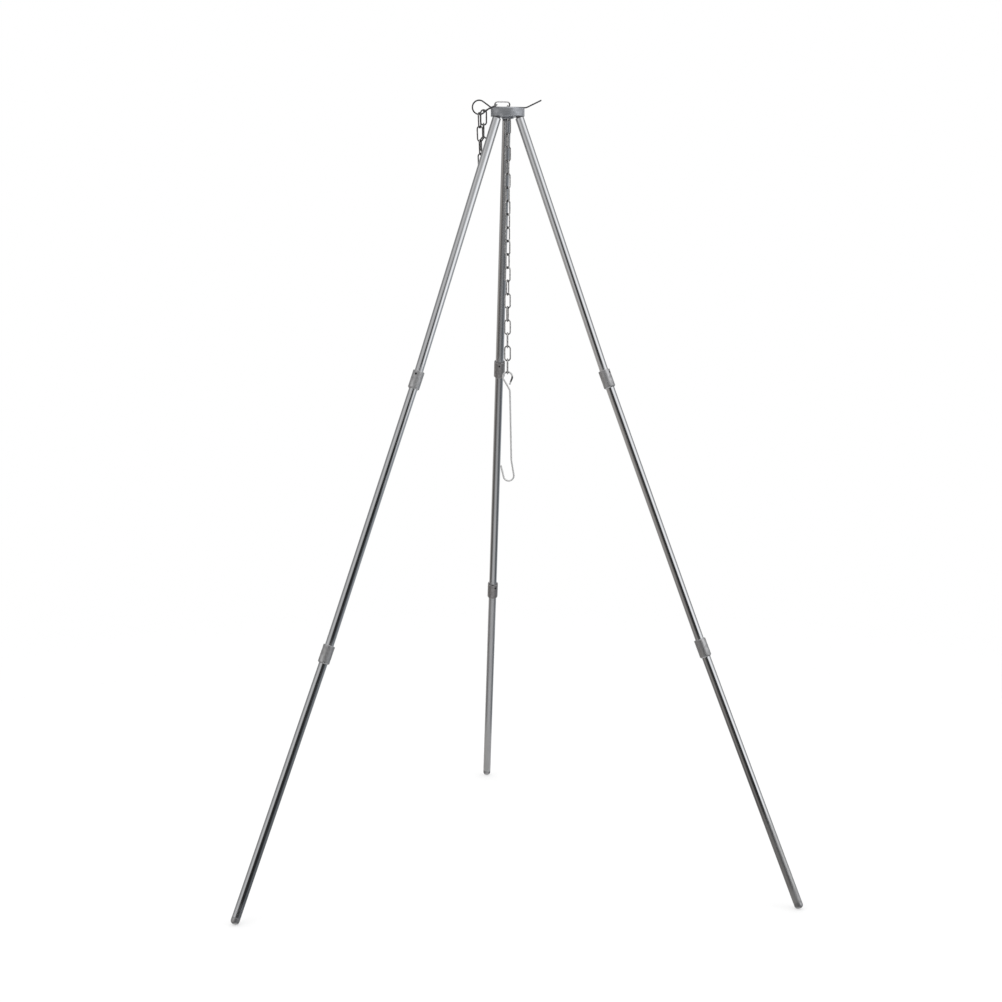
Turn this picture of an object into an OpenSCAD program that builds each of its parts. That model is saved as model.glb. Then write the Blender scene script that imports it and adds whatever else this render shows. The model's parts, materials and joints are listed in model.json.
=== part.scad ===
// Folding campfire tripod: a round head, three legs of three plug-together
// sections, and a chain with a pot hook.  Millimetres, +Z up.
// The origin is on the ground, straight below the middle of the head.
// The rear leg points along +Y and the front legs towards -X and +X.

/* [Legs] */
// Outside diameter of the leg tubes
tube_d = 11; // [10:0.5:12]
// Wall thickness of the leg tubes
tube_wall = 0.9; // [0.7:0.1:1.2]
// Hinge to first socket joint
upper_len = 358; // [250:1:450]
// First to second socket joint
middle_len = 360; // [250:1:450]
// Second socket joint to the tip of the foot
lower_len = 346; // [250:1:450]
// Tilt of the upper sections from plumb when spread
spread = 20.5; // [18:0.5:22]
// Outward sag of the first socket joint
sag_upper = 1.2; // [0.5:0.1:1.5]
// Outward sag of the second socket joint
sag_lower = 0.9; // [0.5:0.1:1.5]

/* [Socket collars] */
// Outside diameter of a collar
collar_d = 14.8; // [14.5:0.1:16]
// Depth of the loose upper socket
socket_depth = 12; // [10:0.5:14]
// Length of the collar that grips the tube below
grip_len = 11.5; // [9:0.5:14]
// Radial play of the tube in its socket
socket_play = 0.55; // [0.5:0.05:0.7]
// Diameter of the set screws
screw_d = 2.5; // [2:0.1:3]
// Set screw below the mouth of the collar
screw_below = 4.7; // [4:0.1:6]

/* [Head] */
// Diameter of the head disc
head_d = 43; // [43:0.5:50]
// Thickness of the head disc
head_t = 10.5; // [10.5:0.5:13]
// Diameter of the hole that the chain runs through
chain_hole_d = 11.2; // [11:0.1:12]
// Diameter of the hinge pins
pivot_d = 2.6; // [2:0.1:3]

/* [Chain] */
// Wire diameter of the links
link_wire = 1.8; // [1.6:0.1:1.8]
// Outside width of a link
link_w = 9; // [9:0.1:9.4]
// Inside length of a link
link_inner = 17.1; // [15:0.1:20]
// Links from the lock pin down to the hook
hanging_links = 20; // [20:1:20]
// Links in each side of the spare loop
loop_links = 4; // [2:1:4]

/* [Hook and lock pin] */
// Wire diameter of the pot hook
hook_wire = 2.3; // [2:0.1:2.4]
// Wire diameter of the lock pin
pin_wire = 1.9; // [1.6:0.1:1.9]
// Middle radius of the ring on the lock pin
ring_r = 8.8; // [8:0.1:9]

/* [Hidden] */
$fn = 48;
sides = ["left", "right", "rear"];
leg_az = [210, 330, 90];
// the way each collar's set screw faces, turned about its leg
screw_turn = [[144, -62], [-173, 62], [6, -25]];

tube_r = tube_d / 2;
bore_r = tube_r - tube_wall;
collar_r = collar_d / 2;
socket_r = tube_r + socket_play;
end_gap = 0.2;       // upper tube above the tube it stands on
foot_len = 8.5;      // visible length of a foot cap
foot_round = 4.2;
cap_plug = 14;       // foot cap and leg eye inside their tubes

head_r = head_d / 2;
pivot_r = 14;        // hinge pin from the middle of the head
pivot_up = 5.2;      // hinge pin above the underside of the head
pin_r = pivot_d / 2;
pin_play = 0.05;
shoulder_at = 7.75;  // hinge pin to the leg eye's shoulder
shoulder_t = 0.8;
tongue_w = 6.6;
tongue_t = 5;
slot_w = 6;
slot_in = 10.2;
slot_out = 19.9;
slot_roof = 1.6;
boss_r = 7.6;
boss_h = 2.5;

tilt_1 = spread;
tilt_2 = tilt_1 + sag_upper;
tilt_3 = tilt_2 + sag_lower;
function down(tilt) = [sin(tilt), 0, -cos(tilt)];

// the foot's rounded end is a ring of this radius, and its lowest side touches the ground
foot_ring = tube_r - foot_round;
foot_drop = (lower_len - foot_round) * cos(tilt_3) + foot_ring * sin(tilt_3) + foot_round;
pivot_z = upper_len * cos(tilt_1) + middle_len * cos(tilt_2) + foot_drop;
pivot = [pivot_r, 0, pivot_z];
joint_1 = pivot + upper_len * down(tilt_1);
joint_2 = joint_1 + middle_len * down(tilt_2);
head_z = pivot_z - pivot_up;
top_z = head_z + head_t;

wire_r = link_wire / 2;
bow_r = (link_w - link_wire) / 2;
link_span = link_inner + link_wire;   // wire middle to wire middle
link_gap = 0.15;
ring_gap = 0.3;                       // a link needs more room on the lock pin's ring
pitch = link_inner - link_gap;
hang_step = link_wire + link_gap;     // a link's upper wire above the wire it hangs on
first_bow_drop = 0.22;                // middle of the first bow below the head's top
first_wire_z = top_z - first_bow_drop + bow_r;
link_twist = 90 + 90 / (hanging_links - 1);
last_wire_z = first_wire_z - link_span - (hanging_links - 1) * pitch;

ball_extra = 0.06;
joint_cut = 0.15;

hook_r = hook_wire / 2;
eye_r = 6.1;
eye_end = [2.2, -10.4];
shank_top = [2.6, -17.5];
shank_end = [2.4, -109];
bend_r = 6.8;
bend_at = [-1.5, -129.5];
hook_tip = [-11.4, -115.4];
hook_lean = 1.3;                      // the hook's weight hangs below its eye
hook_gap = 0.1;                       // between the hook's eye and the last link
eye_z = last_wire_z + wire_r + hook_r + hook_gap - eye_r;

pin_cr = pin_wire / 2;
pin_y = -1.05;
pin_slant = 6;                        // keeps the ring clear of the spare links
pin_rest = 0.08;                      // the bends of the pin's wire stand a little proud
pin_z = top_z + pin_cr + pin_rest;
// the pin in its own upright plane: along the head, and up from its wire's middle
pin_tip = [43.7, 9.6];
pin_kink = [24, 0];
neck = [-22, 0];
ring_at = [-36.7, -0.35];
pin_end_gap = 1.5;                    // the wire's end stops this far from the neck

link_rest = 0.05;                     // spare links lie this far above the head
top_link = [2.7, 1, top_z + bow_r + wire_r + link_rest];   // wire nearest the chain hole
rim_slope = 26.5;
rim_link = [-13.6, 2.4, top_link.z];                  // its upper wire
rim_end = rim_link + link_span * [-cos(rim_slope), 0, -sin(rim_slope)];
ring_strand = [ring_at.x * cos(pin_slant), pin_y + ring_at.x * sin(pin_slant),
               pin_z + ring_at.y - ring_r + pin_cr + wire_r + ring_gap];
ring_strand_lean = -2;
ring_strand_turn = 65;

function name_of(side, piece) = str(side, "_", piece);
function link_name(n) = str("chain_link_", n < 10 ? "0" : "", n);
leg_pieces = ["leg_eye", "upper_tube", "upper_collar", "upper_set_screw", "middle_tube",
              "lower_collar", "lower_set_screw", "lower_tube", "foot_cap"];

// ---------- shared shapes ----------

// a round rod from one point to another
module rod(a, b, r) {
    v = b - a;
    translate(a) rotate([0, acos(v.z / norm(v)), atan2(v.y, v.x)]) cylinder(h = norm(v), r = r);
}

// Bent wire is straight rods and arcs that stop just short of each other, with a
// ball a little thicker than the wire over each joint.
module joint_ball(p, r) { translate(standing(p)) sphere(r + ball_extra); }

// straight wire through points in the XZ plane; an end that is 1 joins on to an arc
module wire(points, r, joins) {
    last = len(points) - 1;
    for (i = [1 : last]) {
        along = (points[i] - points[i - 1]) / norm(points[i] - points[i - 1]);
        cut_a = i > 1 || joins[0] == 1 ? joint_cut : 0;
        cut_b = i < last || joins[1] == 1 ? joint_cut : 0;
        rod(standing(points[i - 1] + cut_a * along), standing(points[i] - cut_b * along), r);
    }
    for (i = [1 : last - 1]) joint_ball(points[i], r);
}

// an arc that joins on to straight wire at both ends
module joined_arc(at, radius, r, from, to) {
    cut = joint_cut / radius * 180 / PI;
    wire_arc(at, radius, r, from + cut, to - cut);
    joint_ball(on_circle(at, radius, from), r);
    joint_ball(on_circle(at, radius, to), r);
}

// an arc of round wire standing in the XZ plane
module wire_arc(at, radius, r, from, to) {
    translate([at.x, 0, at.y]) rotate([90, 0, 0])
        rotate_extrude(angle = to - from, start = from) translate([radius, 0]) circle(r);
}

function flat_angle(v) = atan2(v.y, v.x);
// where a straight line from point p meets a circle round c, on the given side
function touch_angle(p, c, radius, side) = flat_angle(p - c) + side * acos(radius / norm(p - c));
function on_circle(c, radius, a) = c + radius * [cos(a), sin(a)];
function standing(p) = [p.x, 0, p.y];

module tube_between(from, to) {
    translate([0, 0, from]) difference() {
        cylinder(h = to - from, r = tube_r);
        translate([0, 0, -1]) cylinder(h = to - from + 2, r = bore_r);
    }
}

// a chain link in the XZ plane, hanging down from the middle of its upper wire
module link() {
    straight = link_span - 2 * bow_r;
    wire_arc([0, -bow_r], bow_r, wire_r, 0, 180);
    wire_arc([0, -bow_r - straight], bow_r, wire_r, 180, 360);
    for (x = [-bow_r, bow_r]) translate([x, 0, -bow_r - straight]) cylinder(h = straight, r = wire_r);
}

// ---------- leg frames: local Z runs down the section ----------

module on_leg(leg) { rotate([0, 0, leg_az[leg]]) children(); }
module on_section(leg, at, tilt) { on_leg(leg) translate(at) rotate([0, 180 - tilt, 0]) children(); }
module on_upper(leg) { on_section(leg, pivot, tilt_1) children(); }
module on_middle(leg) { on_section(leg, joint_1, tilt_2) children(); }
module on_lower(leg) { on_section(leg, joint_2, tilt_3) children(); }

// ---------- head ----------

module head_profile() {
    top_bevel = 0.8;
    low_bevel = 0.6;
    polygon([[0, 0], [boss_r, 0], [head_r - low_bevel, 0], [head_r, low_bevel],
             [head_r, head_t - top_bevel], [head_r - top_bevel, head_t], [0, head_t]]);
}

module hinge_slot() {
    slot_h = head_t - slot_roof;
    translate([slot_in, -slot_w / 2, -1]) cube([slot_out - slot_in, slot_w, slot_h + 1]);
}

// the hinge pins go in from one side of each slot and stop inside the rim
pin_blind = 8;
pin_inset = 0.6;
pin_open = sqrt(head_r * head_r - pivot_r * pivot_r) - pin_inset;
// the side each pin goes in from, so that no pin shows at the front
pin_side = [-1, 1, 1];

module along_pin(leg) {
    on_leg(leg) translate([pivot_r, 0, pivot_z]) rotate([-90 * pin_side[leg], 0, 0]) children();
}

module head_disc() color([0.56, 0.57, 0.58]) {
    hole_r = chain_hole_d / 2;
    countersink = 0.8;
    above = 0.2;
    difference() {
        translate([0, 0, head_z]) union() {
            rotate_extrude() head_profile();
            translate([0, 0, -boss_h]) cylinder(h = boss_h + 1, r = boss_r);
        }
        translate([0, 0, head_z - boss_h - 1]) cylinder(h = head_t + boss_h + 2, r = hole_r);
        translate([0, 0, top_z - countersink])
            cylinder(h = countersink + above, r1 = hole_r, r2 = hole_r + countersink + above);
        for (leg = [0 : 2]) {
            on_leg(leg) translate([0, 0, head_z]) hinge_slot();
            along_pin(leg) translate([0, 0, -pin_blind]) cylinder(h = pin_blind + head_r, r = pin_r);
        }
    }
}

module pivot_pins() color([0.62, 0.63, 0.65])
    for (leg = [0 : 2])
        along_pin(leg) translate([0, 0, -pin_blind]) cylinder(h = pin_blind + pin_open, r = pin_r);

// ---------- legs ----------

module leg_eye(leg) color([0.6, 0.61, 0.62]) on_upper(leg) difference() {
    union() {
        translate([0, 0, shoulder_at]) cylinder(h = shoulder_t, r = tube_r);
        translate([0, 0, shoulder_at]) cylinder(h = shoulder_t + cap_plug, r = bore_r);
        translate([-tongue_w / 2, -tongue_t / 2, 0]) cube([tongue_w, tongue_t, shoulder_at + shoulder_t]);
        rotate([90, 0, 0]) cylinder(h = tongue_t, r = tongue_w / 2, center = true);
    }
    rotate([90, 0, 0]) cylinder(h = tongue_t + 2, r = pin_r + pin_play, center = true);
}

module upper_tube(leg) color([0.8, 0.81, 0.83]) on_upper(leg)
    tube_between(shoulder_at + shoulder_t, upper_len - end_gap);

module middle_tube(leg) color([0.8, 0.81, 0.83]) on_middle(leg) tube_between(0, middle_len - end_gap);

module lower_tube(leg) color([0.8, 0.81, 0.83]) on_lower(leg) tube_between(0, lower_len - foot_len);

module collar_profile() {
    mouth = 0.5;
    foot = 1.3;
    polygon([[tube_r, 0], [socket_r, 0],
             [socket_r, -socket_depth + mouth], [socket_r + mouth, -socket_depth],
             [collar_r - mouth, -socket_depth], [collar_r, -socket_depth + mouth],
             [collar_r, grip_len - foot], [collar_r - foot, grip_len], [tube_r, grip_len]]);
}

module set_screw_place(turn) {
    rotate([0, 0, turn]) translate([0, 0, screw_below - socket_depth]) rotate([0, 90, 0]) children();
}

module collar(turn) color([0.55, 0.56, 0.56]) difference() {
    rotate_extrude() collar_profile();
    set_screw_place(turn) translate([0, 0, tube_r - 1]) cylinder(h = collar_r, r = screw_d / 2);
}

module set_screw(turn) color([0.25, 0.25, 0.26]) {
    screw_in = tube_r + 0.25;
    screw_out = collar_r - 0.35;
    key_d = 1.4;
    key_depth = 0.7;
    set_screw_place(turn) difference() {
        translate([0, 0, screw_in]) cylinder(h = screw_out - screw_in, r = screw_d / 2);
        translate([0, 0, screw_out - key_depth]) cylinder(h = 1, d = key_d, $fn = 6);
    }
}

module upper_collar(leg) { on_middle(leg) collar(screw_turn[leg][0]); }
module lower_collar(leg) { on_lower(leg) collar(screw_turn[leg][1]); }
module upper_set_screw(leg) { on_middle(leg) set_screw(screw_turn[leg][0]); }
module lower_set_screw(leg) { on_lower(leg) set_screw(screw_turn[leg][1]); }

module foot_cap(leg) color([0.62, 0.63, 0.64]) on_lower(leg) {
    end = lower_len - foot_len;
    translate([0, 0, end - cap_plug]) cylinder(h = cap_plug + 1, r = bore_r);
    translate([0, 0, end]) cylinder(h = foot_len - foot_round, r = tube_r);
    translate([0, 0, lower_len - foot_round]) cylinder(h = foot_round, r = foot_ring);
    translate([0, 0, lower_len - foot_round]) rotate_extrude() translate([foot_ring, 0])
        intersection() { circle(foot_round); translate([0, -foot_round]) square(2 * foot_round); }
}

// ---------- lock pin and chain ----------

module lock_pin() color([0.66, 0.67, 0.68]) {
    upper = touch_angle(neck, ring_at, ring_r, 1);
    lower = touch_angle(neck, ring_at, ring_r, -1);
    ring_top = on_circle(ring_at, ring_r, upper);
    ring_bottom = on_circle(ring_at, ring_r, lower);
    back = (neck - ring_bottom) / norm(neck - ring_bottom);
    translate([0, pin_y, pin_z]) rotate([0, 0, pin_slant]) {
        wire([pin_tip, pin_kink, neck, ring_top], pin_cr, [0, 1]);
        joined_arc(ring_at, ring_r, pin_cr, upper, lower + 360);
        wire([ring_bottom, neck - pin_end_gap * back], pin_cr, [1, 0]);
    }
}

module spare_link_top() color([0.7, 0.71, 0.72]) translate(top_link) rotate([0, 90, 0]) link();

// lies flat across the rim, sloping down outwards
module spare_link_rim() color([0.7, 0.71, 0.72])
    translate(rim_link) rotate([0, 90 - rim_slope, 0]) rotate([0, 0, 90]) link();

// each link turns a quarter turn from the one it hangs on
module strand(at, lean, first_turn) {
    translate(at) rotate([0, lean, 0])
        for (n = [0 : loop_links - 1])
            translate([0, 0, -n * pitch]) rotate([0, 0, first_turn - 90 * n]) link();
}

module spare_links_ring_side() color([0.7, 0.71, 0.72])
    strand(ring_strand, ring_strand_lean, ring_strand_turn);

module spare_links_head_side() color([0.7, 0.71, 0.72]) strand(rim_end + [0, 0, hang_step], 0, 0);

module chain_link(n) color([0.7, 0.71, 0.72])
    translate([0, 0, first_wire_z - (n - 1) * pitch]) rotate([0, 0, 90 + link_twist * (n - 1)]) link();

module pot_hook() color([0.7, 0.71, 0.72]) {
    eye = [0, 0];
    eye_from = touch_angle(eye_end, eye, eye_r, 1);
    eye_to = touch_angle(shank_top, eye, eye_r, -1) + 360;
    bend_from = touch_angle(hook_tip, bend_at, bend_r, 1);
    bend_to = touch_angle(shank_end, bend_at, bend_r, -1) + 360;
    translate([0, 0, eye_z + eye_r]) rotate([0, -hook_lean, 0]) translate([0, 0, -eye_r]) {
        wire([eye_end, on_circle(eye, eye_r, eye_from)], hook_r, [0, 1]);
        joined_arc(eye, eye_r, hook_r, eye_from, eye_to);
        wire([on_circle(eye, eye_r, eye_to), shank_top, shank_end, on_circle(bend_at, bend_r, bend_to)],
             hook_r, [1, 1]);
        joined_arc(bend_at, bend_r, hook_r, bend_from, bend_to);
        wire([on_circle(bend_at, bend_r, bend_from), hook_tip], hook_r, [1, 0]);
    }
}

// ---------- the nodes ----------

head_disc();
pivot_pins();
for (leg = [0 : 2]) {
    side = sides[leg];
    leg_eye(leg);
    upper_tube(leg);
    upper_collar(leg);
    upper_set_screw(leg);
    middle_tube(leg);
    lower_collar(leg);
    lower_set_screw(leg);
    lower_tube(leg);
    foot_cap(leg);
}
lock_pin();
spare_link_top();
spare_link_rim();
spare_links_ring_side();
spare_links_head_side();
for (n = [1 : hanging_links])
    chain_link(n);
pot_hook();
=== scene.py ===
"""Looks for the folding campfire tripod: detailed pieces, metals and a plain studio."""
import json
import math

import bmesh
import bpy
from mathutils import Matrix, Vector

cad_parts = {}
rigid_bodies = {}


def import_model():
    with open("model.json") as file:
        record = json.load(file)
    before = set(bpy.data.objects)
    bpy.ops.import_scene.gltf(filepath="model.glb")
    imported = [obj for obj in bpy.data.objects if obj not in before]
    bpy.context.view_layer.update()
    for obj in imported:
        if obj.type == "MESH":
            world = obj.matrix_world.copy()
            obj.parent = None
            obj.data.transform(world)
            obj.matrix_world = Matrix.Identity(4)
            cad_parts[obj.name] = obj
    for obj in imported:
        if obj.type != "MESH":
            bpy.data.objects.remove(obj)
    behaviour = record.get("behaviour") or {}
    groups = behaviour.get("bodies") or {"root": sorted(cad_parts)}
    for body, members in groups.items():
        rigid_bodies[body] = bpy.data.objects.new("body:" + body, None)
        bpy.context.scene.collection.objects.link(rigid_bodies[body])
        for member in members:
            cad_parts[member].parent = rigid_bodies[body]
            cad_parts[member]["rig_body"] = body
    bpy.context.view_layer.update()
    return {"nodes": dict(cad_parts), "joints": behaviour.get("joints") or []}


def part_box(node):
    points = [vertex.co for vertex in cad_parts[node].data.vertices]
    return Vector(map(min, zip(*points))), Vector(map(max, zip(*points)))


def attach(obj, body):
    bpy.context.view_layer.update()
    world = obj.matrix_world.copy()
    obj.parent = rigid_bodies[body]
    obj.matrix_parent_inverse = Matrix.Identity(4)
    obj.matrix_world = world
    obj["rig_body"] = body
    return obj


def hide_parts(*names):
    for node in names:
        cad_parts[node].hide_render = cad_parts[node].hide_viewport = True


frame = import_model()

MM = 0.001
SIDES = ("left", "right", "rear")
SECTIONS = ("upper", "middle", "lower")
JOINTS = {joint["name"]: joint for joint in frame["joints"]}

# ---- sizes, in millimetres ----

TUBE_R = 5.5
TUBE_BORE_R = TUBE_R - 0.9
COLLAR_R = 7.4
COLLAR_CHAMFER = 1.3
SOCKET_R = 6.05
SOCKET_DEPTH = 12.0
GRIP_LEN = 11.5
SCREW_R = 1.25
SCREW_LEN = 1.3
SCREW_LEVEL = 4.7 - SOCKET_DEPTH
SCREW_PLAY = 0.12
SCREW_SUNK = 2.6
FOOT_LEN = 8.5
FOOT_ROUND = 4.2
FOOT_SEAM = 0.25
PLUG_LEN = 14.0
SHOULDER_AT = 7.75
SHOULDER_T = 0.8
TONGUE_W = 6.6
TONGUE_T = 5.0
PIVOT_R = 1.3
PIVOT_PLAY = 0.02

HEAD_R = 21.5
HEAD_T = 10.5
BOSS_R = 7.6
BOSS_H = 2.5
CHAIN_HOLE_R = 5.6
SLOT_W = 6.0
SLOT_IN = 10.2
SLOT_OUT = 19.9
SLOT_ROOF = 1.6

LINK_WIRE_R = 0.9
LINK_BOW_R = 3.6
LINK_SPAN = 18.9
LINK_GAP = 0.15
LINK_PITCH = 16.95
LINK_BOW_STEPS = 18
LINK_SIDE_STEPS = 12
WELD_RISE = 0.13
WELD_REACH = 0.013
LOOP_LINKS = 4
RING_GAP = 0.3
RING_STRAND_LEAN = -2
RING_STRAND_TURN = 65

HOOK_WIRE_R = 1.15
EYE_R = 6.1
EYE_END = (2.2, -10.4)
SHANK_TOP = (2.6, -17.5)
SHANK_END = (2.4, -109.0)
BEND_R = 6.8
BEND_AT = (-1.5, -129.5)
HOOK_TIP = (-11.4, -115.4)
HOOK_LEAN = math.radians(1.3)
HOOK_GAP = 0.1

PIN_WIRE_R = 0.95
PIN_Y = -1.05
PIN_TIP = (43.7, 9.6)
PIN_KINK = (24.0, 0.0)
PIN_NECK = (-22.0, 0.0)
RING_AT = (-36.7, -0.35)
RING_R = 8.8
PIN_END_GAP = 1.5
PIN_REST = 0.08

# ---- painted shade where wire touches wire, and the rougher, darker foot ends ----

# points of painted contact shade: a link's two bows, and the hook's eye where it touches wire
LINK_CONTACT_SHADE = [(0, 0, -LINK_WIRE_R), (0, 0, LINK_WIRE_R - LINK_SPAN)]
HOOK_CONTACT_SHADE = [(0, 0, EYE_R), (EYE_R - 0.4, 0, -1.5), (EYE_R - 1.8, 0, -4.4)]
DULL_FADE = 70

# ---- camera, in metres and radians: in front, a little left of the middle, looking slightly down ----

CAMERA_LENS = 63.72
CAMERA_SENSOR = 36.0
CAMERA_BACK = 2.3039
CAMERA_BEARING = math.radians(4.576)
CAMERA_TURN = math.radians(4.366)
CAMERA_PITCH = math.radians(7.935)
CAMERA_BELOW_HEAD = 0.1728

# ---- studio: brightness by bearing, 0 behind the camera and 180 behind the object ----

BANDS_ABOVE = [(-180, 0.7), (-150, 0.36), (-122, 0.22), (-92, 0.34), (-56, 0.6), (-24, 0.44), (10, 0.5),
               (30, 0.8), (50, 1.05), (62, 1.05), (84, 0.62), (115, 0.26), (150, 0.36), (180, 0.7)]
BANDS_BELOW = [(-180, 0.7), (-122, 0.38), (-92, 0.36), (-62, 0.28), (-42, 0.13), (-26, 0.04), (0, 0.02),
               (30, 0.02), (52, 0.08), (86, 0.3), (122, 0.38), (180, 0.7)]
ABOVE_WARMTH = 0.01                    # warm light from the left, cool from the right
BELOW_WARMTH = 0.07
DARK_GAP_HEIGHT = math.radians(24)     # how high the dark gap behind the camera reaches
DARK_GAP_FALL = 0.5                    # how fast it drops to either side
DARK_GAP_SIDE = math.radians(66)       # where it stops dropping
DARK_GAP_BLUR = math.radians(3.5)
GROUND_EDGE = math.radians(-14)        # below this the shaded ground shows
GROUND_TOP = math.radians(-32)
BANDS_GROUND = [(-180, 0.4), (-100, 0.08), (-50, 0.11), (0, 0.2), (50, 0.12), (100, 0.09), (180, 0.4)]
TABLE_TOP = math.radians(-58)          # below this the pale table shows
TABLE_EDGE = math.radians(-40)
TABLE_SHINE = 0.55
CEILING_FROM = math.radians(50)
CEILING_TO = math.radians(75)
CEILING_SHINE = 0.8
FLOOR_R = 2.0
FLOOR_DROP = 0.0004
FLOOR_FADE = (0.55, 1.8)
LAMPS = {
    "key": {"place": (-1.6, -1.5, 2.2), "aim": (0, 0, 0.6), "size": (1.2, 1.2), "watts": 6},
    "fill": {"place": (1.8, -1.0, 1.6), "aim": (0, 0, 0.5), "size": (1.0, 1.6), "watts": 4},
}


# ---- points and outlines ----

def vec2(p):
    return Vector((p[0], p[1]))


def arc(centre, radius, start, end, steps):
    """Points along an arc, angles in degrees."""
    angles = [math.radians(start + (end - start) * i / steps) for i in range(steps + 1)]
    return [vec2(centre) + radius * vec2((math.cos(a), math.sin(a))) for a in angles]


def touch_angle(point, centre, radius, side):
    """Where a straight line from a point meets a circle, in degrees."""
    away = vec2(point) - vec2(centre)
    return math.degrees(math.atan2(away.y, away.x) + side * math.acos(radius / away.length))


def eased(points, radii, closed=True, steps=5):
    """The outline with each corner rounded to its radius."""
    points = [vec2(p) for p in points]
    radii = radii if isinstance(radii, (list, tuple)) else [radii] * len(points)
    out = []
    for i, p in enumerate(points):
        if not closed and i in (0, len(points) - 1):
            out.append(p)
            continue
        before = (points[i - 1] - p).normalized()
        after = (points[(i + 1) % len(points)] - p).normalized()
        opening = before.angle(after)
        if radii[i] <= 0 or opening > math.radians(179.5):
            out.append(p)
            continue
        cut = radii[i] / math.tan(opening / 2)
        centre = p + (before + after).normalized() * radii[i] / math.sin(opening / 2)
        start = p + before * cut - centre
        end = p + after * cut - centre
        turn = start.angle_signed(end)
        for k in range(steps + 1):
            spin = Matrix.Rotation(-turn * k / steps, 2)
            out.append(centre + spin @ start)
    return out


# ---- meshes ----

def skin(rings, close_rings=False, caps=False):
    """A mesh over rings of points, each ring as long as the others."""
    bm = bmesh.new()
    rows = [[bm.verts.new(Vector(p) * MM) for p in ring] for ring in rings]
    pairs = list(zip(rows, rows[1:]))
    if close_rings:
        pairs.append((rows[-1], rows[0]))
    for low, high in pairs:
        for i in range(len(low)):
            j = (i + 1) % len(low)
            bm.faces.new((low[i], low[j], high[j], high[i]))
    if caps:
        bm.faces.new(list(reversed(rows[0])))
        bm.faces.new(rows[-1])
    return cleaned(bm)


def cleaned(bm):
    bmesh.ops.remove_doubles(bm, verts=bm.verts, dist=1e-7)
    bmesh.ops.dissolve_degenerate(bm, edges=bm.edges, dist=1e-8)
    bmesh.ops.recalc_face_normals(bm, faces=bm.faces)
    return bm


def lathe(profile, segments=64, closed=True):
    """A turned shape: the profile is radius and height."""
    turns = [2 * math.pi * i / segments for i in range(segments)]
    rings = [[(r * math.cos(a), r * math.sin(a), z) for a in turns] for r, z in profile]
    return skin(rings, close_rings=closed)


def sweep(path, radius, closed=False, sides=20, bulge=None):
    """Round wire along a path in the XZ plane.  bulge(share of the length) swells it."""
    count = len(path)
    rings = []
    for i, p in enumerate(path):
        ahead = path[(i + 1) % count] if closed or i < count - 1 else p
        behind = path[i - 1] if closed or i > 0 else p
        along = (ahead - behind).normalized()
        across = Vector((-along.y, along.x))
        r = radius * (bulge(i / count) if bulge else 1.0)
        rings.append(wire_ring(p, across, r, sides))
    if not closed:
        first = domed_end(path[0], path[0] - path[1], radius, sides)
        last = domed_end(path[-1], path[-1] - path[-2], radius, sides, flip=True)
        rings = first + rings[1:-1] + last[::-1]
    return skin(rings, close_rings=closed, caps=not closed)


def wire_ring(p, across, r, sides):
    turns = [2 * math.pi * k / sides for k in range(sides)]
    return [(p.x + r * math.cos(a) * across.x, r * math.sin(a), p.y + r * math.cos(a) * across.y)
            for a in turns]


def domed_end(p, outward, radius, sides, flip=False):
    """Rings that round off a cut wire end, from the tip inwards."""
    outward = outward.normalized()
    across = Vector((outward.y, -outward.x)) * (-1 if flip else 1)
    ease = 0.55 * radius
    steps = 4
    rings = []
    for k in range(steps + 1):
        a = math.radians(90 * k / steps)
        r = radius - ease + ease * math.sin(a)
        rings.append(wire_ring(p - outward * ease * (1 - math.cos(a)), across, r, sides))
    return rings


def block(low, high):
    """A box between two corners."""
    xs, ys, zs = zip(low, high)
    corners = [(xs[0], ys[0]), (xs[1], ys[0]), (xs[1], ys[1]), (xs[0], ys[1])]
    return skin([[(x, y, z) for x, y in corners] for z in zs], caps=True)


def plate(outline, thickness):
    """An outline in X and Z, given a thickness along Y."""
    half = thickness / 2
    rings = [[(p.x, y, p.y) for p in outline] for y in (-half, half)]
    return skin(rings, caps=True)


def moved(bm, matrix):
    bmesh.ops.transform(bm, matrix=matrix, verts=bm.verts)
    return bm


def joined(*meshes):
    """Several meshes as one, each its own shell."""
    out = meshes[0]
    for bm in meshes[1:]:
        carry = bpy.data.meshes.new("carry")
        bm.to_mesh(carry)
        out.from_mesh(carry)
        bm.free()
        bpy.data.meshes.remove(carry)
    return out


def carved(bm, *cutters):
    """The mesh with the cutters' shapes taken out."""
    def stand(shape, name):
        mesh = bpy.data.meshes.new(name)
        shape.to_mesh(mesh)
        shape.free()
        obj = bpy.data.objects.new(name, mesh)
        bpy.context.scene.collection.objects.link(obj)
        return obj

    body = stand(bm, "carve_body")
    tools = [stand(cutter, "carve_tool") for cutter in cutters]
    for tool in tools:
        cut = body.modifiers.new("cut", "BOOLEAN")
        cut.operation = "DIFFERENCE"
        cut.solver = "EXACT"
        cut.object = tool
    bpy.context.view_layer.update()
    evaluated = body.evaluated_get(bpy.context.evaluated_depsgraph_get())
    out = bmesh.new()
    out.from_mesh(evaluated.to_mesh())
    evaluated.to_mesh_clear()
    for obj in [body, *tools]:
        mesh = obj.data
        bpy.data.objects.remove(obj)
        bpy.data.meshes.remove(mesh)
    return out


def piece(name, bm, place, material, stands_for, crease=32):
    """A finished piece in place of a CAD node: it takes the node's body."""
    limit = math.radians(crease)
    for face in bm.faces:
        face.smooth = True
    for edge in bm.edges:
        if len(edge.link_faces) == 2:
            edge.smooth = edge.calc_face_angle() < limit
    mesh = bpy.data.meshes.new(name)
    bm.to_mesh(mesh)
    bm.free()
    mesh.materials.append(material)
    obj = bpy.data.objects.new(name, mesh)
    obj.matrix_world = place
    bpy.context.scene.collection.objects.link(obj)
    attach(obj, body_of(stands_for))
    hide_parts(stands_for)
    return obj


def body_of(node):
    return frame["nodes"][node]["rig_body"]


# ---- materials ----

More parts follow.
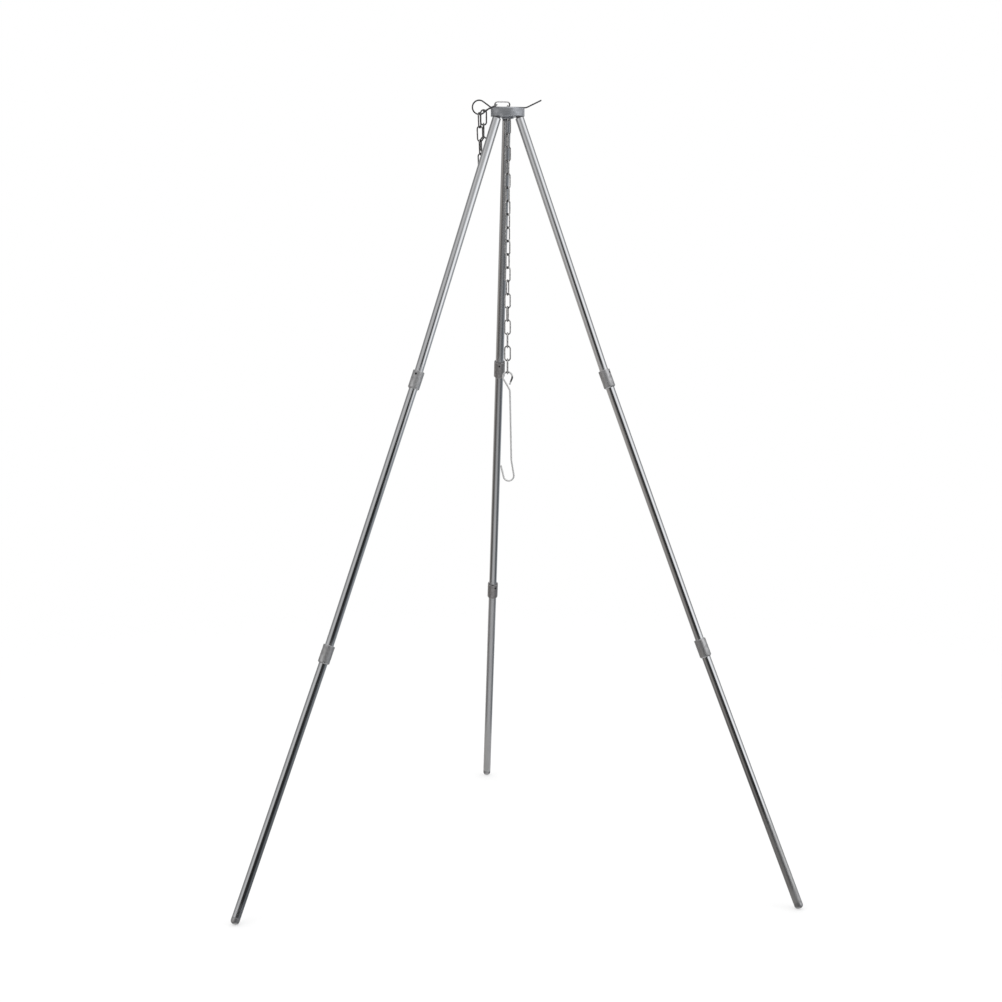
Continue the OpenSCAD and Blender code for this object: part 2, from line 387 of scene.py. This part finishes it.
class Nodes:
    """A node tree, built a node at a time."""

    def __init__(self, tree):
        self.tree = tree

    def feed(self, socket, value):
        if isinstance(value, bpy.types.NodeSocket):
            self.tree.links.new(value, socket)
        else:
            socket.default_value = value

    def add(self, kind, values=None, **settings):
        node = self.tree.nodes.new(kind)
        for key, value in settings.items():
            setattr(node, key, value)
        for key, value in (values or {}).items():
            self.feed(node.inputs[key], value)
        return node

    def spread(self, value, low, high, to_low=0.0, to_high=1.0):
        """The value's band from low to high, stretched over another band."""
        ranges = {"Value": value, "From Min": low, "From Max": high, "To Min": to_low, "To Max": to_high}
        return self.add("ShaderNodeMapRange", ranges, interpolation_type="SMOOTHSTEP").outputs["Result"]

    def math(self, operation, a, b=0.0):
        return self.add("ShaderNodeMath", {0: a, 1: b}, operation=operation).outputs[0]

    def mix(self, share, a, b):
        """One colour over another."""
        node = self.add("ShaderNodeMix", {"Factor": share}, data_type="RGBA")
        for key, colour in (("A", a), ("B", b)):
            socket = next(s for s in node.inputs if s.name == key and s.type == "RGBA")
            self.feed(socket, (*colour, 1.0) if isinstance(colour, tuple) else colour)
        return next(s for s in node.outputs if s.type == "RGBA")


class Shader(Nodes):
    """A material's nodes, in the piece's own coordinates."""

    def __init__(self, name):
        self.material = bpy.data.materials.new(name)
        self.material.use_nodes = True
        super().__init__(self.material.node_tree)
        self.surface = self.tree.nodes["Principled BSDF"]
        self.place = self.add("ShaderNodeTexCoord").outputs["Object"]

    def noise(self, scale, stretch=(1, 1, 1), detail=3.0, rough=0.5, shift=0.0):
        """Noise with a scale in lumps per metre, stretched along the piece's own axes."""
        place = {"Vector": self.place, "Scale": stretch, "Location": (shift, shift, shift)}
        mapped = self.add("ShaderNodeMapping", place).outputs["Vector"]
        lumps = {"Vector": mapped, "Scale": scale, "Detail": detail, "Roughness": rough}
        return self.add("ShaderNodeTexNoise", lumps).outputs["Fac"]

    def part_of_place(self, axis):
        split = self.add("ShaderNodeSeparateXYZ", {"Vector": self.place})
        return split.outputs[axis]

    def distance_from(self, spot):
        """Distance from a point of the piece, in metres; the point is in millimetres."""
        ends = {0: self.place, 1: tuple(value * MM for value in spot)}
        return self.add("ShaderNodeVectorMath", ends, operation="DISTANCE").outputs["Value"]

    def bump(self, height, depth_mm, under=None):
        values = {"Height": height, "Strength": 1.0, "Distance": depth_mm * MM}
        if under is not None:
            values["Normal"] = under
        return self.add("ShaderNodeBump", values).outputs["Normal"]

    def finish(self, colour, roughness, normal, metallic=1.0):
        values = {"Base Color": colour, "Roughness": roughness, "Normal": normal, "Metallic": metallic}
        for key, value in values.items():
            self.feed(self.surface.inputs[key], value)
        return self.material


def drawn_tube(name, roughness, length, dull_from, dull_shade):
    """Drawn aluminium: fine lines along the tube, its lower end rubbed in the socket, and rougher and
    darker towards the foot end.
    """
    s = Shader(name)
    lines = s.noise(1500, (1, 1, 0.012), detail=4)
    broad = s.noise(160, (1, 1, 0.05), detail=2, shift=3.1)
    clouds = s.noise(26, detail=3, shift=1.7)
    specks = s.noise(900, detail=2, shift=5.3)
    pale = s.mix(s.spread(lines, 0.35, 0.65, 0.0, 1.0), (0.74, 0.75, 0.77), (0.84, 0.85, 0.87))
    colour = s.mix(s.spread(specks, 0.68, 0.8, 0.0, 0.35), pale, (0.5, 0.5, 0.51))
    streaks = s.spread(lines, 0.3, 0.7, roughness, roughness + 0.05)
    rough = s.math("ADD", streaks, s.spread(clouds, 0.4, 0.7, 0.0, 0.04))
    along = s.part_of_place("Z")
    rubbed = s.spread(along, (length - 26) * MM, (length - 12) * MM, 0.0, 0.16)
    rough = s.math("ADD", rough, rubbed)
    if dull_from is not None:
        # rougher, and darker towards the foot end, down to the grey dull_shade
        dull = s.spread(along, dull_from * MM, (dull_from + DULL_FADE) * MM)
        rough = s.math("ADD", rough, s.math("MULTIPLY", dull, 0.32))
        colour = s.mix(dull, colour, (dull_shade,) * 3)
    normal = s.bump(lines, 0.004)
    normal = s.bump(broad, 0.02, normal)
    return s.finish(colour, rough, normal)


def cast_metal(name, dark, pale, roughness, grain_mm):
    """Blasted casting: sandy grain, soft unevenness, small dark pits."""
    s = Shader(name)
    grain = s.noise(2600, detail=3, rough=0.6)
    patches = s.noise(140, detail=4, shift=2.3)
    pits = s.noise(1100, detail=1, shift=7.9)
    colour = s.mix(s.spread(patches, 0.35, 0.68, 0.0, 1.0), dark, pale)
    colour = s.mix(s.spread(grain, 0.35, 0.7, 0.0, 0.5), colour, pale)
    colour = s.mix(s.spread(pits, 0.66, 0.76, 0.0, 0.6), colour, tuple(c * 0.45 for c in dark))
    rough = s.spread(patches, 0.3, 0.7, roughness + 0.08, roughness - 0.06)
    normal = s.bump(grain, grain_mm)
    normal = s.bump(pits, -grain_mm, normal)
    return s.finish(colour, rough, normal)


def zinc_wire(name, roughness, pale, dark, shade_spots_at=(), metallic=1.0):
    """Zinc plating on drawn wire: a little mottled, with dull flecks, and painted shade where wires touch.
    """
    s = Shader(name)
    mottle = s.noise(420, detail=4)
    flecks = s.noise(1500, detail=2, shift=4.4)
    colour = s.mix(s.spread(mottle, 0.3, 0.7, 0.0, 1.0), dark, pale)
    colour = s.mix(s.spread(flecks, 0.66, 0.78, 0.0, 0.5), colour, (0.3, 0.3, 0.31))
    # painted shade: near-black spots where one wire touches another
    for spot in shade_spots_at:
        away = s.math("ADD", s.distance_from(spot), s.spread(mottle, 0.3, 0.7, 0.0, 0.6 * MM))
        colour = s.mix(s.spread(away, 1.7 * MM, 3.8 * MM, 0.96, 0.0), colour, (0.035, 0.035, 0.038))
    rough = s.spread(mottle, 0.3, 0.75, roughness + 0.1, roughness - 0.03)
    normal = s.bump(mottle, 0.02)
    return s.finish(colour, rough, normal, metallic)


def black_screw(name):
    """Black oxide with bright rubbed flecks."""
    s = Shader(name)
    wear = s.noise(1800, detail=3)
    colour = s.mix(s.spread(wear, 0.55, 0.72, 0.0, 1.0), (0.05, 0.05, 0.055), (0.28, 0.28, 0.29))
    rough = s.spread(wear, 0.3, 0.7, 0.42, 0.28)
    return s.finish(colour, rough, s.bump(wear, 0.02))


# ---- leg pieces, each along its own section: Z runs down it ----

def tube_ends(node):
    """Middles of the top and bottom rims of a tube node."""
    points = [v.co.copy() for v in frame["nodes"][node].data.vertices]
    low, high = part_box(node)
    level = (low.z + high.z) / 2
    ends = []
    for group in ([p for p in points if p.z > level], [p for p in points if p.z <= level]):
        corner_low = Vector([min(p[i] for p in group) for i in range(3)])
        corner_high = Vector([max(p[i] for p in group) for i in range(3)])
        ends.append((corner_low + corner_high) / 2)
    return ends


def section_place(node):
    """Where a tube's own frame stands: Z down the tube, X towards the middle of the tripod."""
    top, bottom = tube_ends(node)
    down = (bottom - top).normalized()
    sideways = Vector((0, 0, 1)).cross(Vector((down.x, down.y, 0))).normalized()
    inward = sideways.cross(down)
    place = Matrix((inward, sideways, down)).transposed().to_4x4()
    place.translation = top
    return place, (bottom - top).length / MM


def turned_to(place, node):
    """The angle about a section that a node's middle lies at."""
    low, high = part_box(node)
    local = place.inverted() @ ((low + high) / 2)
    return math.atan2(local.y, local.x)


def tube_mesh(length):
    """A tube with eased rims; the rings just past them keep its long sides straight in the light."""
    hold = 0.6
    outline = [(TUBE_BORE_R, 0), (TUBE_R, 0), (TUBE_R, hold), (TUBE_R, length - hold),
               (TUBE_R, length), (TUBE_BORE_R, length), (TUBE_BORE_R, length - hold), (TUBE_BORE_R, hold)]
    return lathe(eased(outline, 0.25, steps=3), 72)


def rod(radius, length, start=0, segments=32):
    """A plain round rod up the Z axis."""
    return lathe([(0, start), (radius, start), (radius, start + length), (0, start + length)],
                 segments, closed=False)


def collar_mesh(screw_angle):
    """A collar fixed on the lower tube, with the open socket above and the screw's hole in its side."""
    hold = 0.8
    outline = [(TUBE_R, 0), (SOCKET_R, 0), (SOCKET_R, -SOCKET_DEPTH), (COLLAR_R, -SOCKET_DEPTH),
               (COLLAR_R, hold - SOCKET_DEPTH), (COLLAR_R, GRIP_LEN - 2 * COLLAR_CHAMFER),
               (COLLAR_R, GRIP_LEN - COLLAR_CHAMFER), (COLLAR_R - COLLAR_CHAMFER, GRIP_LEN),
               (TUBE_R, GRIP_LEN)]
    body = lathe(eased(outline, [0, 0, 0.35, 0.45, 0, 0, 0.8, 0.35, 0], steps=4), 80)
    hole = rod(SCREW_R + SCREW_PLAY, 4)
    return carved(body, moved(hole, screw_turn(screw_angle, COLLAR_R - SCREW_SUNK)))


def screw_turn(angle, out):
    """Stands a shape's Z along the screw's own axis, starting at a radius."""
    spin = Matrix.Rotation(angle, 4, "Z")
    level = Matrix.Translation(Vector((0, 0, SCREW_LEVEL)) * MM)
    tip = Matrix.Rotation(math.radians(90), 4, "Y")
    return level @ spin @ tip @ Matrix.Translation(Vector((0, 0, out)) * MM)


def screw_mesh(angle):
    """A set screw with a six-sided socket."""
    turns = [2 * math.pi * i / 36 for i in range(36)]
    socket = 0.7
    depth = 0.75
    bevel = 0.2
    lip = 0.06
    above_tube = 0.3

    def ring(r, z):
        return [(r * math.cos(t), r * math.sin(t), z) for t in turns]

    def hex_ring(r, z):
        out = []
        for t in turns:
            off = (t % (math.pi / 3)) - math.pi / 6
            reach = r * math.cos(math.pi / 6) / math.cos(off)
            out.append((reach * math.cos(t), reach * math.sin(t), z))
        return out

    rings = [ring(0.0, 0), ring(SCREW_R - bevel, 0), ring(SCREW_R, bevel),
             ring(SCREW_R, SCREW_LEN - bevel), ring(SCREW_R - bevel, SCREW_LEN),
             hex_ring(socket + lip, SCREW_LEN), hex_ring(socket, SCREW_LEN - lip),
             hex_ring(socket, SCREW_LEN - depth), ring(0.0, SCREW_LEN - depth)]
    return moved(skin(rings), screw_turn(angle, TUBE_R + above_tube))


def foot_mesh(tube_end):
    """A plug in the tube, a fine seam below its rim, and a rounded tip."""
    plug = tube_end - PLUG_LEN
    seam = tube_end + FOOT_SEAM
    tip = tube_end + FOOT_LEN
    bevel = 0.3
    lead = 0.4
    flat = TUBE_R - FOOT_ROUND
    dome = arc((flat, tip - FOOT_ROUND), FOOT_ROUND, 0, 90, 12)
    outline = [(0, plug), (TUBE_BORE_R - lead, plug), (TUBE_BORE_R, plug + lead), (TUBE_BORE_R, seam),
               (TUBE_R - bevel, seam), (TUBE_R, seam + bevel), *dome, (0, tip)]
    return lathe(outline, 64, closed=False)


def eye_mesh():
    """A tongue with the pin's hole, a shoulder on the tube's rim, and a plug in the tube."""
    half = TONGUE_W / 2
    root = SHOULDER_AT + SHOULDER_T / 2
    outline = [vec2((half, root)), vec2((-half, root)), *arc((0, 0), half, 180, 360, 20)]
    pin_hole = rod(PIVOT_R + 0.05, 2 * TONGUE_T, start=-TONGUE_T)
    tongue = carved(plate(outline, TONGUE_T), moved(pin_hole, Matrix.Rotation(math.radians(90), 4, "X")))
    under = SHOULDER_AT + SHOULDER_T
    bevel = 0.2
    shoulder = [(0, SHOULDER_AT), (TUBE_R - bevel, SHOULDER_AT), (TUBE_R, SHOULDER_AT + bevel),
                (TUBE_R, under - bevel), (TUBE_R - bevel, under), (TUBE_BORE_R, under),
                (TUBE_BORE_R, under + PLUG_LEN), (0, under + PLUG_LEN)]
    return joined(tongue, lathe(shoulder, 64, closed=False))


def make_leg(side, looks):
    sections = {part: section_place(f"{side}_{part}_tube") for part in SECTIONS}
    for part, (place, length) in sections.items():
        roughness = looks["roughness"]
        dull_from = None
        if part == "lower":
            roughness += looks["lower_extra"]
            dull_from = length - looks["dull_end"]
        metal = drawn_tube(f"drawn_{side}_{part}", roughness, length, dull_from, looks["dull_shade"])
        node = f"{side}_{part}_tube"
        piece(f"{node}_drawn", tube_mesh(length), place, metal, node)
    for part, carrier in (("upper", "middle"), ("lower", "lower")):
        place = sections[carrier][0]
        collar = f"{side}_{part}_collar"
        screw = f"{side}_{part}_set_screw"
        angle = turned_to(place, screw)
        piece(f"{collar}_cast", collar_mesh(angle), place, METALS[looks["collar"]], collar)
        piece(f"{screw}_socket", screw_mesh(angle), place, METALS["screw"], screw)
    hinge = Matrix(sections["upper"][0])
    hinge.translation = Vector(JOINTS[f"{side}_leg_fold"]["pos_m"])
    piece(f"{side}_leg_eye_cast", eye_mesh(), hinge, METALS["leg_end"], f"{side}_leg_eye")
    place, length = sections["lower"]
    piece(f"{side}_foot_cap_turned", foot_mesh(length), place, METALS["foot"], f"{side}_foot_cap")


# ---- head ----

def make_head():
    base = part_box("head_disc")[1].z - HEAD_T * MM
    place = Matrix.Translation((0, 0, base))
    hold = 1.6
    outline = [(CHAIN_HOLE_R, -BOSS_H), (BOSS_R, -BOSS_H), (BOSS_R, 0), (BOSS_R + hold, 0),
               (HEAD_R - hold, 0), (HEAD_R, 0), (HEAD_R, hold), (HEAD_R, HEAD_T - hold), (HEAD_R, HEAD_T),
               (HEAD_R - hold, HEAD_T), (CHAIN_HOLE_R + hold, HEAD_T), (CHAIN_HOLE_R, HEAD_T)]
    disc = lathe(eased(outline, [0.5, 0.5, 0.6, 0, 0, 0.6, 0, 0, 0.9, 0, 0, 0.9], steps=5), 128)
    cutters = []
    for side in SIDES:
        pivot = Vector(JOINTS[f"{side}_leg_fold"]["pos_m"])
        facing = math.atan2(pivot.y, pivot.x)
        spin = Matrix.Rotation(facing, 4, "Z")
        slot = block((SLOT_IN, -SLOT_W / 2, -2), (SLOT_OUT, SLOT_W / 2, HEAD_T - SLOT_ROOF))
        cutters.append(moved(slot, spin))
    beyond = 6
    for side in SIDES:
        start, along, reach = pin_line(side)
        bore = rod(PIVOT_R + PIVOT_PLAY, reach + beyond)
        cutters.append(moved(bore, place.inverted() @ pin_place(start, along)))
    piece("head_disc_cast", carved(disc, *cutters), place, METALS["head"], "head_disc")

    pins = []
    for side in SIDES:
        start, along, reach = pin_line(side)
        outline = [(0, 0), (PIVOT_R, 0), (PIVOT_R, reach), (0, reach)]
        shape = eased(outline, [0, 0.25, 0.25, 0], closed=False, steps=3)
        pins.append(moved(lathe(shape, 36, closed=False), pin_place(start, along)))
    piece("pivot_pins_steel", joined(*pins), Matrix.Identity(4), METALS["steel"], "pivot_pins")


def pin_line(side):
    """Blind end, direction and length of a hinge pin, from the pin node's own points."""
    pivot = Vector(JOINTS[f"{side}_leg_fold"]["pos_m"])
    across = Vector((-pivot.y, pivot.x, 0)).normalized()
    radius = Vector((pivot.x, pivot.y)).length
    spread = [(v.co - pivot).dot(across) for v in near_points("pivot_pins", pivot, across)]
    back, reach = min(spread), max(spread)
    length = (reach - back) / MM
    if reach > -back:
        return pivot + across * back, across, length
    return pivot + across * reach, -across, length


def near_points(node, pivot, across):
    """Vertices of a node that lie along one line."""
    out = []
    for v in frame["nodes"][node].data.vertices:
        off = v.co - pivot
        off = off - across * off.dot(across)
        if off.length < 2 * MM:
            out.append(v)
    return out


def pin_place(start, along):
    place = along.to_track_quat("Z", "Y").to_matrix().to_4x4()
    place.translation = start
    return place


# ---- chain ----

def link_path():
    straight = LINK_SPAN - 2 * LINK_BOW_R
    top = arc((0, -LINK_BOW_R), LINK_BOW_R, 0, 180, LINK_BOW_STEPS)
    low = arc((0, -LINK_BOW_R - straight), LINK_BOW_R, 180, 360, LINK_BOW_STEPS)
    shares = [i / LINK_SIDE_STEPS for i in range(1, LINK_SIDE_STEPS)]
    down = [top[-1].lerp(low[0], share) for share in shares]
    up = [low[-1].lerp(top[0], share) for share in shares]
    return top + down + low + up


def link_mesh(flip):
    """A welded link: the weld is a low bead in the middle of one side."""
    path = link_path()
    half_side = LINK_SIDE_STEPS / 2
    weld = (LINK_BOW_STEPS + half_side) / len(path) if flip else 1 - half_side / len(path)

    def bulge(share):
        return 1 + WELD_RISE * math.exp(-((share - weld) / WELD_REACH) ** 2)

    return sweep(path, LINK_WIRE_R, closed=True, sides=20, bulge=bulge)


def link_place(origin, hang, side):
    """A link's place: its upper wire's middle, the way it hangs, and the way its width runs."""
    up = -hang.normalized()
    width = (side - up * side.dot(up)).normalized()
    place = Matrix((width, up.cross(width), up)).transposed().to_4x4()
    place.translation = origin
    return place


def level_turn(degrees):
    return Vector((math.cos(math.radians(degrees)), math.sin(math.radians(degrees)), 0))


def make_hanging_chain():
    """Each link hangs on the last one's lower wire, and is turned a little over a quarter turn."""
    links = sorted(n for n in frame["nodes"] if n.startswith("chain_link_"))
    twist = 90 + 90 / (len(links) - 1)
    down = Vector((0, 0, -1))
    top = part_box(links[0])[1].z - LINK_WIRE_R * MM
    for i, node in enumerate(links):
        origin = Vector((0, 0, top - i * LINK_PITCH * MM))
        place = link_place(origin, down, level_turn(90 + twist * i))
        piece(f"{node}_welded", link_mesh(i % 2 == 0), place, METALS["chain"], node)


def strand(name, node, origin, hang, first_turn):
    """Spare links hanging one below the other in a body of their own."""
    spin = Vector((0, 0, -1)).rotation_difference(hang)
    for i in range(LOOP_LINKS):
        side = spin @ level_turn(first_turn - 90 * i)
        place = link_place(origin + hang * i * LINK_PITCH * MM, hang, side)
        piece(f"{name}_{i + 1}", link_mesh(i % 2 == 1), place, METALS["spare"], node)


def make_spare_links():
    reach = LINK_WIRE_R * MM
    low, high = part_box("spare_link_top")
    origin = Vector((high.x - reach, (low.y + high.y) / 2, (low.z + high.z) / 2))
    place = link_place(origin, Vector((-1, 0, 0)), Vector((0, 0, -1)))
    piece("spare_link_top_welded", link_mesh(True), place, METALS["top_link"], "spare_link_top")

    low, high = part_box("spare_link_rim")
    middle_y = (low.y + high.y) / 2
    origin = Vector((high.x - reach, middle_y, high.z - reach))
    end = Vector((low.x + reach, middle_y, low.z + reach))
    place = link_place(origin, end - origin, Vector((0, 1, 0)))
    piece("spare_link_rim_welded", link_mesh(False), place, METALS["spare"], "spare_link_rim")

    up = Vector((0, 0, MM))
    start = Vector(JOINTS["rim_strand_swing"]["pos_m"]) + up * (2 * LINK_WIRE_R + LINK_GAP)
    strand("head_side_link", "spare_links_head_side", start, -up.normalized(), 0)
    start = Vector(JOINTS["ring_strand_swing"]["pos_m"]) + up * (PIN_WIRE_R + LINK_WIRE_R + RING_GAP)
    lean = Matrix.Rotation(math.radians(RING_STRAND_LEAN), 3, "Y")
    strand("ring_side_link", "spare_links_ring_side", start, lean @ -up.normalized(), RING_STRAND_TURN)


# ---- hook and lock pin ----

def smooth_wire(points, radii):
    return eased(points, radii, closed=False, steps=8)


def make_hook():
    eye = (0, 0)
    eye_from = touch_angle(EYE_END, eye, EYE_R, 1)
    eye_to = touch_angle(SHANK_TOP, eye, EYE_R, -1) + 360
    bend_from = touch_angle(HOOK_TIP, BEND_AT, BEND_R, 1)
    bend_to = touch_angle(SHANK_END, BEND_AT, BEND_R, -1) + 360
    loop = arc(eye, EYE_R, eye_from, eye_to, 36)
    bend = arc(BEND_AT, BEND_R, bend_to, bend_from, 26)
    shank = smooth_wire([loop[-1], SHANK_TOP, SHANK_END, bend[0]], [0, 7, 30, 0])
    path = [vec2(EYE_END), *loop, *divided(shank)[1:-1], *bend, vec2(HOOK_TIP)]
    rest = Vector(JOINTS["pot_hook_swing"]["pos_m"])
    contact = rest + Vector((0, 0, LINK_WIRE_R + HOOK_WIRE_R + HOOK_GAP)) * MM
    lean = Matrix.Rotation(-HOOK_LEAN, 4, "Y")
    place = Matrix.Translation(contact) @ lean @ Matrix.Translation(Vector((0, 0, -EYE_R)) * MM)
    wire = sweep(divided(path), HOOK_WIRE_R, sides=24)
    piece("pot_hook_bent", wire, place, METALS["hook"], "pot_hook")


def divided(path, longest=4.0):
    """The path with its long stretches divided."""
    out = [path[0]]
    for a, b in zip(path, path[1:]):
        steps = max(1, math.ceil((b - a).length / longest))
        out += [a.lerp(b, i / steps) for i in range(1, steps + 1)]
    return out


def make_lock_pin():
    upper = touch_angle(PIN_NECK, RING_AT, RING_R, 1)
    lower = touch_angle(PIN_NECK, RING_AT, RING_R, -1)
    ring = arc(RING_AT, RING_R, upper, lower + 360, 40)
    back = (vec2(PIN_NECK) - ring[-1]).normalized()
    shaft = smooth_wire([PIN_TIP, PIN_KINK, PIN_NECK, ring[0]], [0, 9, 5, 0])
    path = [*divided(shaft), *ring[1:], vec2(PIN_NECK) - PIN_END_GAP * back]
    slide = Vector(JOINTS["lock_pin_slide"]["axis"])
    turn = Matrix.Rotation(math.atan2(slide.y, slide.x), 4, "Z")
    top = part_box("head_disc")[1].z
    place = Matrix.Translation((0, PIN_Y * MM, top + (PIN_WIRE_R + PIN_REST) * MM)) @ turn
    wire = sweep(divided(path), PIN_WIRE_R, sides=22)
    piece("lock_pin_bent", wire, place, METALS["pin"], "lock_pin")


# ---- studio ----

def make_floor():
    """A pale floor that fades into the backdrop."""
    bpy.ops.mesh.primitive_circle_add(vertices=96, radius=FLOOR_R, fill_type="NGON",
                                      location=(0, 0, -FLOOR_DROP))
    floor = bpy.context.object
    floor.name = "studio_floor"
    floor.visible_glossy = False
    made = Shader("floor_paper")
    paper = {"Base Color": (0.5, 0.5, 0.5, 1), "Emission Color": (1, 1, 1, 1), "Emission Strength": 0.5,
             "Roughness": 0.9, "Specular IOR Level": 0.1}
    for key, value in paper.items():
        made.feed(made.surface.inputs[key], value)
    fade = made.spread(made.distance_from((0, 0, 0)), *FLOOR_FADE)
    clear = made.add("ShaderNodeBsdfTransparent").outputs["BSDF"]
    blend = made.add("ShaderNodeMixShader", {0: fade, 1: made.surface.outputs["BSDF"], 2: clear})
    made.feed(made.tree.nodes["Material Output"].inputs["Surface"], blend.outputs["Shader"])
    floor.data.materials.append(made.material)


def bearing_bands(made, share, stops, warmth):
    """Brightness by bearing, tinted warm to the left and cool to the right."""
    ramp = made.add("ShaderNodeValToRGB", {"Fac": share})
    elements = ramp.color_ramp.elements
    ramp.color_ramp.interpolation = "EASE"
    while len(elements) < len(stops):
        elements.new(0.5)
    for element, (angle, value) in zip(elements, stops):
        element.position = (angle + 180) / 360
        warm = -warmth * math.sin(math.radians(angle))
        element.color = (value * (1 + warm), value, value * (1 - warm), 1)
    return ramp.outputs["Color"]


def make_world():
    """Plain white, except that metals reflect soft boxes round a dark gap behind the camera."""
    world = bpy.data.worlds.new("studio")
    bpy.context.scene.world = world
    world.use_nodes = True
    world.node_tree.nodes.clear()
    made = Nodes(world.node_tree)

    toward = made.add("ShaderNodeTexCoord").outputs["Generated"]
    split = made.add("ShaderNodeSeparateXYZ", {"Vector": toward}).outputs
    bearing = made.math("ARCTAN2", split["X"], made.math("MULTIPLY", split["Y"], -1.0))
    height = made.math("ARCSINE", split["Z"])
    turns = {"Value": bearing, "From Min": -math.pi, "From Max": math.pi}
    share = made.add("ShaderNodeMapRange", turns).outputs["Result"]
    aside = made.math("MINIMUM", made.math("ABSOLUTE", bearing), DARK_GAP_SIDE)
    gap_top = made.math("ADD", made.math("MULTIPLY", aside, -DARK_GAP_FALL), DARK_GAP_HEIGHT)
    over_gap = made.math("SUBTRACT", height, gap_top)
    above = bearing_bands(made, share, BANDS_ABOVE, ABOVE_WARMTH)
    below = bearing_bands(made, share, BANDS_BELOW, BELOW_WARMTH)
    ground = bearing_bands(made, share, BANDS_GROUND, BELOW_WARMTH)
    lit = made.mix(made.spread(over_gap, -DARK_GAP_BLUR, DARK_GAP_BLUR), below, above)
    lit = made.mix(made.spread(height, GROUND_EDGE, GROUND_TOP), lit, ground)
    lit = made.mix(made.spread(height, TABLE_EDGE, TABLE_TOP), lit, (TABLE_SHINE,) * 3)
    lit = made.mix(made.spread(height, CEILING_FROM, CEILING_TO), lit, (CEILING_SHINE,) * 3)
    studio = made.add("ShaderNodeBackground", {"Color": lit, "Strength": 1.0})
    plain = made.add("ShaderNodeBackground", {"Color": (1, 1, 1, 1), "Strength": 1.0})
    reflected = made.add("ShaderNodeLightPath").outputs["Is Glossy Ray"]
    mixed = made.add("ShaderNodeMixShader", {0: reflected, 1: plain.outputs[0], 2: studio.outputs[0]})
    made.add("ShaderNodeOutputWorld", {"Surface": mixed.outputs[0]})


def make_lamp(name, place, aim, size, watts):
    """A soft box that isn't seen in the metal."""
    data = bpy.data.lights.new(name, "AREA")
    data.shape = "RECTANGLE"
    data.size, data.size_y = size
    data.energy = watts
    lamp = bpy.data.objects.new(name, data)
    lamp.visible_glossy = False
    lamp.location = place
    lamp.rotation_mode = "QUATERNION"
    lamp.rotation_quaternion = (Vector(aim) - Vector(place)).to_track_quat("-Z", "Y")
    bpy.context.scene.collection.objects.link(lamp)


def make_camera():
    data = bpy.data.cameras.new("camera")
    data.lens = CAMERA_LENS
    data.sensor_width = CAMERA_SENSOR
    camera = bpy.data.objects.new("camera", data)
    head_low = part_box("head_disc")[1].z - HEAD_T * MM
    back = Vector((-math.sin(CAMERA_BEARING), -math.cos(CAMERA_BEARING), 0)) * CAMERA_BACK
    camera.location = back + Vector((0, 0, head_low - CAMERA_BELOW_HEAD))
    level = math.cos(CAMERA_PITCH)
    look = Vector((math.sin(CAMERA_TURN) * level, math.cos(CAMERA_TURN) * level, -math.sin(CAMERA_PITCH)))
    camera.rotation_mode = "QUATERNION"
    camera.rotation_quaternion = look.to_track_quat("-Z", "Y")
    bpy.context.scene.collection.objects.link(camera)
    bpy.context.scene.camera = camera


METALS = {
    "head": cast_metal("head_casting", (0.49, 0.51, 0.54), (0.75, 0.77, 0.81), 0.54, 0.035),
    "front_collar": cast_metal("front_collar_casting", (0.49, 0.49, 0.495), (0.73, 0.73, 0.74), 0.44, 0.04),
    # painted shade: the rear collars take the front collars' casting made darker and warmer, for the dimmer
    # light on the rear leg
    "rear_shade_collar": cast_metal("rear_shade_collar_casting", (0.41, 0.395, 0.395), (0.6, 0.585, 0.585), 0.44, 0.04),
    "leg_end": cast_metal("leg_eye_casting", (0.24, 0.24, 0.25), (0.38, 0.38, 0.39), 0.5, 0.04),
    "foot": cast_metal("foot_turning", (0.5, 0.5, 0.505), (0.66, 0.66, 0.67), 0.4, 0.03),
    "steel": zinc_wire("pin_steel", 0.35, (0.78, 0.79, 0.81), (0.52, 0.53, 0.55)),
    "screw": black_screw("black_screw"),
    "chain": zinc_wire("chain_zinc", 0.12, (0.88, 0.87, 0.86), (0.45, 0.45, 0.45), LINK_CONTACT_SHADE, 0.88),
    # painted highlight: the top link is the chain's zinc made paler, for the light it catches
    "top_link": zinc_wire("top_link_zinc", 0.3, (0.95, 0.93, 0.93), (0.8, 0.78, 0.78), LINK_CONTACT_SHADE, 0.75),
    # painted shade: the spare links are the chain's zinc made near black, for the shade they hang in
    "spare": zinc_wire("spare_chain_zinc", 0.07, (0.5, 0.49, 0.48), (0.05, 0.05, 0.05), LINK_CONTACT_SHADE),
    # painted highlight: the hook is a paler zinc than the chain, for the light along its shank
    "hook": zinc_wire("hook_zinc", 0.45, (0.95, 0.95, 0.95), (0.86, 0.86, 0.86), HOOK_CONTACT_SHADE, 0.78),
    "pin": zinc_wire("lock_pin_zinc", 0.12, (0.3, 0.3, 0.31), (0.08, 0.08, 0.08)),
}
# lower_extra roughens the lower tube; dull_end is the height above its end where it turns rougher and
# darker, towards the grey dull_shade
LEG_LOOKS = {
    "left": {"roughness": 0.04, "lower_extra": 0.02, "dull_end": 5, "dull_shade": 0.9,
             "collar": "front_collar"},
    "right": {"roughness": 0.04, "lower_extra": 0.02, "dull_end": 150, "dull_shade": 0.6,
              "collar": "front_collar"},
    "rear": {"roughness": 0.1, "lower_extra": 0.24, "dull_end": 120, "dull_shade": 0.9,
             "collar": "rear_shade_collar"},
}

for side in SIDES:
    make_leg(side, LEG_LOOKS[side])
make_head()
make_hanging_chain()
make_spare_links()
make_hook()
make_lock_pin()
make_floor()
make_world()
for name, lamp in LAMPS.items():
    make_lamp(name, **lamp)
make_camera()
bpy.context.scene.view_settings.view_transform = "Standard"
